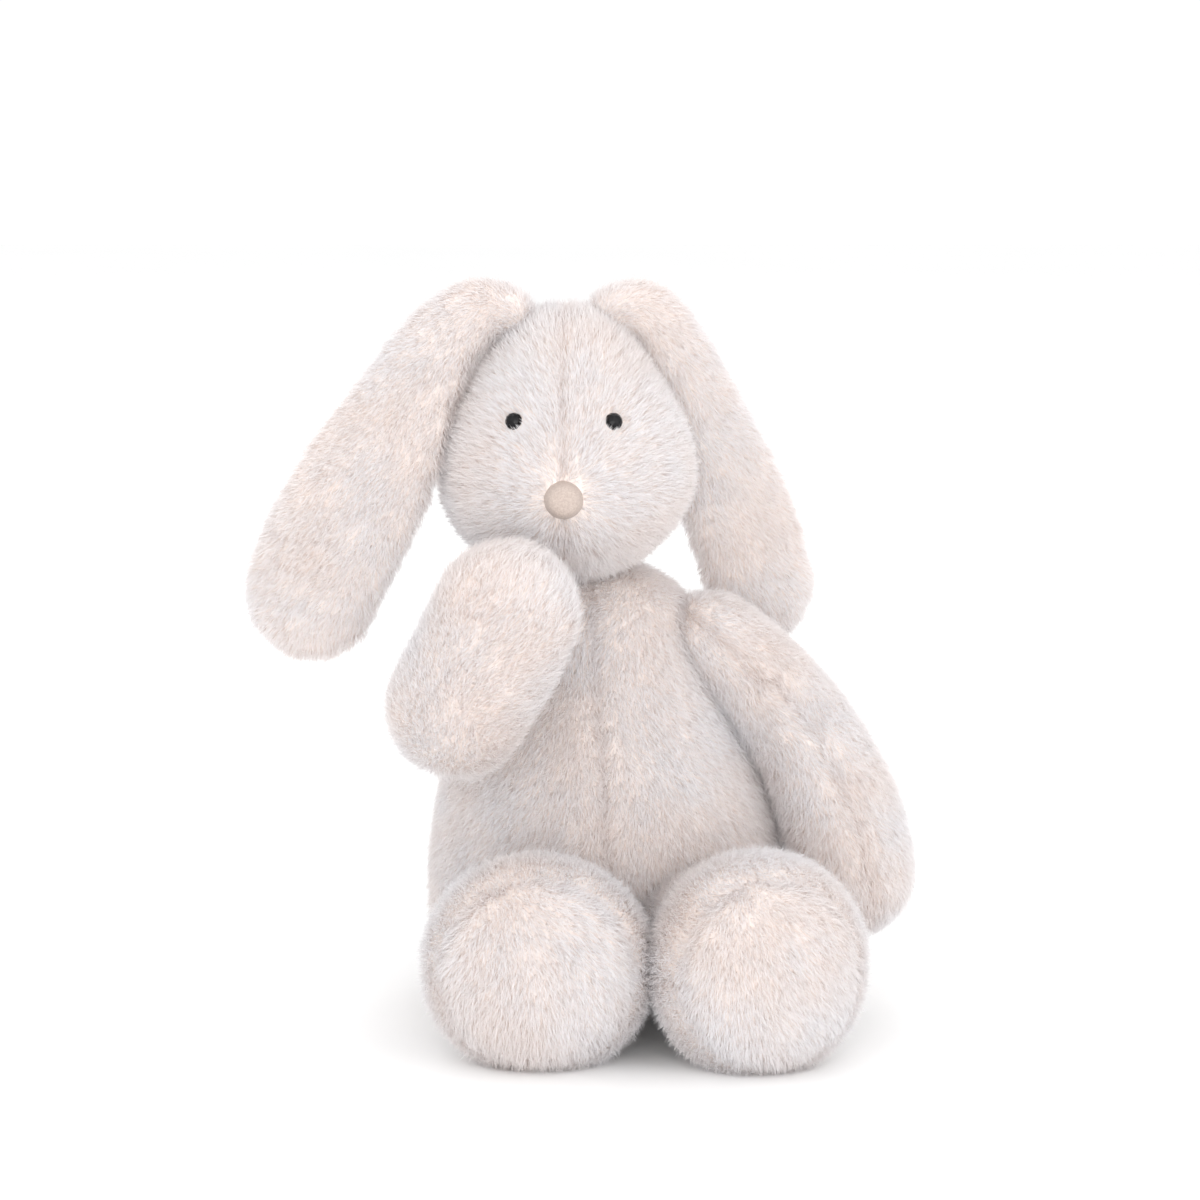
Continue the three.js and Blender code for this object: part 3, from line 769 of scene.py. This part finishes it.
def panels_of(limb):
    """The cuts that make a limb's panels, each as (panel, front half, back half, distance)."""
    if limb == "head":
        rear = side_of_plane((0, back_y(), 0), (0, -1, 0))
        middle = side_of_plane((centre_x(), 0, 0), (1, 0, 0))
        return [("head", "face", "head_back", rear), ("face", "face_left", "face_right", middle)]
    if limb == "body":
        origin = in_box(BODY_NODES, (0.497, 0.497, 0.323))
        sides = side_of_plane(origin + [0, 4, 0], (0, -1, 0))
        middle = side_of_plane(origin, (1, 0, 0.06))
        return [
            ("body", "front", "back", sides),
            ("front", "body_front_left", "body_front_right", middle),
            ("back", "body_back_left", "body_back_right", middle),
        ]
    if limb == "tail":
        return [("tail", "tail_cover", "tail_cover", side_of_plane((0, 0, 0), (0, 0, 1)))]
    if limb.startswith("ear"):
        return [(limb, limb + "_front", limb + "_back", ribbon(limb))]
    if limb.startswith("arm"):
        side = limb[4:]
        upper, lower = limb + "_upper", limb + "_lower"
        return [
            (limb, "shoulder", "paw", behind_arm_plane(side, ELBOW)),
            ("shoulder", upper + "_outer", upper + "_inner", ribbon(upper)),
            ("paw", lower + "_outer", lower + "_inner", ribbon(lower)),
        ]
    form = forms[limb]
    toe = form["centre"][-1] - SOLE_SEAM * form["along"][-1]
    return [
        (limb, limb + "_sole", "leg", side_of_plane(toe, form["along"][-1])),
        ("leg", limb + "_top", limb + "_under", side_of_plane((0, 0, LEG_SEAM), (0, 0, 1))),
    ]


def flow_over(limb, panel, points):
    """The way the pile is brushed at each root."""
    if limb == "head":
        away = unit(points - NOSE)
        back = np.clip((points[:, 1:2] - back_y()) / 40 + 0.3, 0, 1)
        flow = away * (1 - back) + np.array([0, 0.2, -1.0]) * back
        across = points[:, :1] - centre_x()
        return flow + 0.2 * np.sign(across) * np.exp(-((across / 9) ** 2)) * [1, 0, 0]
    if limb == "body":
        across = points[:, :1] - in_box(BODY_NODES, (0.497, 0.5, 0.5))[0]
        return np.array([0, 0, -1.0]) + 0.35 * np.tanh(across / 15) * [1, 0, 0]
    if panel.endswith("sole"):
        whorl = forms[limb]["centre"][-1] + [-30, 0, 95]
        return unit(points - whorl)
    best = np.full(len(points), 1e9)
    flow = np.zeros_like(points)
    for name in forms_of_limb[limb]:
        index, out = nearest_disc(forms[name], points)
        form = forms[name]
        edge = ((points - form["centre"][index]) * form["across"][index]).sum(axis=1, keepdims=True)
        spread = 0.5 if limb.startswith("ear") else 0.0
        width = np.maximum(form["width"][index], 1)[:, None]
        way = form["along"][index] + spread * (edge / width) * form["across"][index]
        closer = out < best
        best[closer] = out[closer]
        flow[closer] = way[closer]
    return flow


def body_for(panel):
    """What a panel moves with: one body; or, for one that lies across a joint, two bodies and two points
    along its form.
    """
    if panel.startswith(("face", "head")):
        return "head"
    if panel.startswith(("body", "tail")):
        return "torso"
    if panel.startswith("ear"):
        limb = panel[: panel.rindex("_")]
        centre = forms[limb]["centre"]
        return ("head", limb, centre[2], centre[14])
    if panel.startswith("leg"):
        limb = panel[: panel.rindex("_")]
        centre = forms[limb]["centre"]
        return ("torso", limb, centre[2], centre[16])
    side = panel.split("_")[1]
    upper = forms[f"arm_{side}_upper"]["centre"]
    lower = forms[f"arm_{side}_lower"]["centre"]
    if "upper" in panel:
        return ("torso", f"arm_{side}_upper", upper[1], upper[int(0.5 * len(upper))])
    start = upper[int(0.62 * len(upper))]
    end = lower[int(0.42 * len(lower))]
    return (f"arm_{side}_upper", f"arm_{side}_lower", start, end)


def attach(obj, moving):
    """A piece rides one body; a piece that lies across two has its placing baked into its points and is not
    parented.
    """
    if isinstance(moving, str):
        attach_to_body(obj, moving)
    else:
        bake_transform(obj)


def drop_inside(limb, points, faces, margin):
    """Which faces of a limb stay: those outside the head or body that the limb is sewn to."""
    keep = np.ones(len(faces), bool)
    if limb in ("head", "body"):
        return keep
    host = "head" if limb.startswith("ear") else "body"
    return ~inside(forms[host], points[faces].mean(axis=1), margin)


def open_to_air(limb, roots):
    """Which roots stand clear of every other limb, so that pile grows only where it shows."""
    free = np.ones(len(roots), bool)
    for other, names in forms_of_limb.items():
        if other != limb:
            for name in names:
                free &= ~inside(forms[name], roots, -REST_CONTACT)
    return free


# ---------------------------------------------------------------- pieces

def make_skins():
    """Every limb's skin, cut into its panels and puffed: {limb: (points, faces, panel names, seam line)}."""
    shells = {}
    for limb, parts in forms_of_limb.items():
        warp = snout if limb == "head" else None
        points, faces = sewn_shell([form_surface(forms[part], warp) for part in parts], limb)
        points, names = cut_panels(points, faces, panels_of(limb))
        shells[limb] = (points, faces, names)
    for limb, points in puffed(shells).items():
        shells[limb] = (points, *shells[limb][1:])
    skins = {}
    for limb, shell in shells.items():
        points, faces, names, line = finished_skin(*shell)
        keep = drop_inside(limb, points, faces, SEWN_IN)
        skins[limb] = (points, faces[keep], names[keep], line)
    return skins


EYES = {side: in_box([f"eye_{side}"], [0.5, 0.15, 0.5]) for side in ("right", "left")}


def shortened(limb, roots):
    """Pile length at each root: shorter round the eyes and the nose, and a little shorter on the ears."""
    length = np.full(len(roots), PILE_LENGTH)
    if limb.startswith("ear"):
        length *= 0.9
    if limb == "head":
        for spot, bare in ((NOSE, NOSE_BARE), (EYES["right"], EYE_BARE), (EYES["left"], EYE_BARE)):
            away = np.linalg.norm((roots - spot)[:, [0, 2]], axis=1)
            front = roots[:, 1] < NOSE[1] + 40
            share = np.clip((away - bare) / BARE_FADE + SHORTEST, SHORTEST, 1)
            length = np.where(front, length * share, length)
            length[front & (away < bare)] = 0
    return length


def near_seam(line, roots):
    """How much each strand takes of the colour beside a seam, partly its parted warm roots and partly painted
    shade in the seam's groove: tint x exp(-(distance / width) squared).
    """
    if not len(line):
        return np.zeros(len(roots))
    return SEAM_ROOTS_AND_SHADE * np.exp(-((distance_to(line, roots) / SEAM_ROOTS_AND_SHADE_WIDTH) ** 2))


def dress(skins, backing, pile):
    """Each panel becomes a backing cloth and the pile that stands on it."""
    seed = 11
    for limb, (points, faces, names, line) in skins.items():
        for panel in sorted(set(names)):
            seed += 10
            panel_points, panel_faces = only(points, faces[names == panel])
            cloth = mesh_object(panel + "_cloth", panel_points, panel_faces)
            wall = cloth.modifiers.new("backing", "SOLIDIFY")
            wall.thickness = BACKING * MM
            wall.offset = -1
            cloth.data.materials.append(backing)
            roots, outward = scatter(panel_points, panel_faces, PILE_DENSITY, np.random.default_rng(seed))
            length = shortened(limb, roots)
            on_floor = (outward[:, 2] < -0.9) & (roots[:, 2] < 2)
            keep = open_to_air(limb, roots) & (length > 0) & ~on_floor
            roots, outward, length = roots[keep], outward[keep], length[keep]
            # how far each strand takes the seam's warm roots and painted shade
            seam_shade_share = near_seam(line, roots)
            flow = flow_over(limb, panel, roots)
            hair = grow_pile(panel + "_pile", roots, outward, flow, length, seam_shade_share, seed)
            hair.data.materials.append(pile)
            moving = body_for(panel)
            for piece in (cloth, hair):
                attach(piece, moving)
            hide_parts(panel)


def make_nose(velour):
    """A velour patch over an oval: nearly flat in the middle, with y falling back as radius to the sixth
    power towards its turned-in edge."""
    low, size = box_of(["nose_patch"])
    centre = low + size * [0.5, 0.0, 0.5]
    radius = np.linspace(0, 1, 20)[:, None]
    angle = np.linspace(0, 2 * np.pi, 48, endpoint=False)[None, :]
    x = centre[0] + 0.54 * size[0] * radius * np.cos(angle)
    z = centre[2] + 0.55 * size[2] * radius * np.sin(angle)
    y = centre[1] - 2.4 + 0.8 * radius ** 2 + (size[1] + 0.6) * radius ** 6 + 0 * angle
    points = np.stack([x, y, z], axis=-1).reshape(-1, 3)
    nose = mesh_object("nose_pad", points, grid_faces(20, 48)[:, ::-1])
    nose.data.materials.append(velour)
    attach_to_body(nose, "head")
    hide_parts("nose_patch")


def paint_cad_nodes():
    """Procedural finishes for the CAD nodes that stay: fillings, eyes, washers, bag of beads and seat."""
    wadding = fibre_material("polyester_wadding", (0.86, 0.85, 0.82), (0.95, 0.94, 0.92), 120)
    finishes = {
        "washer": fibre_material("washer_nylon", (0.78, 0.78, 0.76), (0.86, 0.86, 0.84), 300),
        "bean": fibre_material("bean_bag_cloth", (0.66, 0.63, 0.56), (0.76, 0.73, 0.67), 500),
        "filling": wadding,
        "wadding": wadding,
        "seat": fibre_material("seat_cloth", (0.78, 0.70, 0.65), (0.88, 0.83, 0.80), 400),
        "eye": eye_material(),
    }
    for name, obj in frame["nodes"].items():
        kind = next((word for word in finishes if word in name), None)
        if kind:
            obj.data.materials.clear()
            obj.data.materials.append(finishes[kind])


# ---------------------------------------------------------------- studio

def look_at(obj, place, target):
    """A camera or lamp put in its place and turned to face a target."""
    obj.location = place
    obj.rotation_euler = (Vector(target) - Vector(place)).to_track_quat("-Z", "Y").to_euler()


def build_floor():
    """A wide sheet of white paper."""
    corners = np.array([[-4000, -4000, 0], [4000, -4000, 0], [4000, 4000, 0], [-4000, 4000, 0]], float)
    floor = mesh_object("floor", corners, np.array([[0, 1, 2, 3]]))
    material, tree, shader = new_material("floor_paper")
    colour = ramp(tree, object_noise(tree, 3), [(0, (0.93, 0.93, 0.93)), (1, (0.95, 0.95, 0.95))])
    tree.links.new(colour, shader.inputs["Base Color"])
    shader.inputs["Roughness"].default_value = 0.9
    shader.inputs["Specular IOR Level"].default_value = 0.1
    floor.data.materials.append(material)


def build_lights():
    """An even white surround, soft boxes on both sides, in front and behind, and a small one for the eyes."""
    world = bpy.data.worlds.new("studio")
    bpy.context.scene.world = world
    world.use_nodes = True
    world.node_tree.nodes["Background"].inputs["Color"].default_value = (1, 1, 1, 1)
    world.node_tree.nodes["Background"].inputs["Strength"].default_value = 1.05
    for place, size, power in (
        ((-1.3, -1.5, 1.5), 1.8, 6),
        ((1.5, -1.2, 1.2), 1.8, 9),
        ((0.1, -2.2, 0.5), 1.6, 22),
        ((0.25, -1.9, 0.25), 0.16, 2.5),
        ((0.2, 1.3, 1.8), 1.6, 6),
    ):
        light = bpy.data.lights.new("softbox", "AREA")
        light.size = size
        light.energy = power
        lamp = bpy.data.objects.new("softbox", light)
        bpy.context.scene.collection.objects.link(lamp)
        look_at(lamp, place, (0, 0, 0.12))


def build_camera():
    """A long lens, from a little above the head."""
    camera = bpy.data.cameras.new("camera")
    camera.lens = 113.2
    camera.sensor_width = 36
    obj = bpy.data.objects.new("camera", camera)
    bpy.context.scene.collection.objects.link(obj)
    look_at(obj, (0.0089, -1.5511, 0.4492), (0.0089, 0.0245, 0.1712))
    bpy.context.scene.camera = obj


build_camera()
build_floor()
build_lights()
paint_cad_nodes()
dress(make_skins(), backing_material(), pile_material())
make_nose(velour_material())
bpy.context.scene.view_settings.view_transform = "Standard"
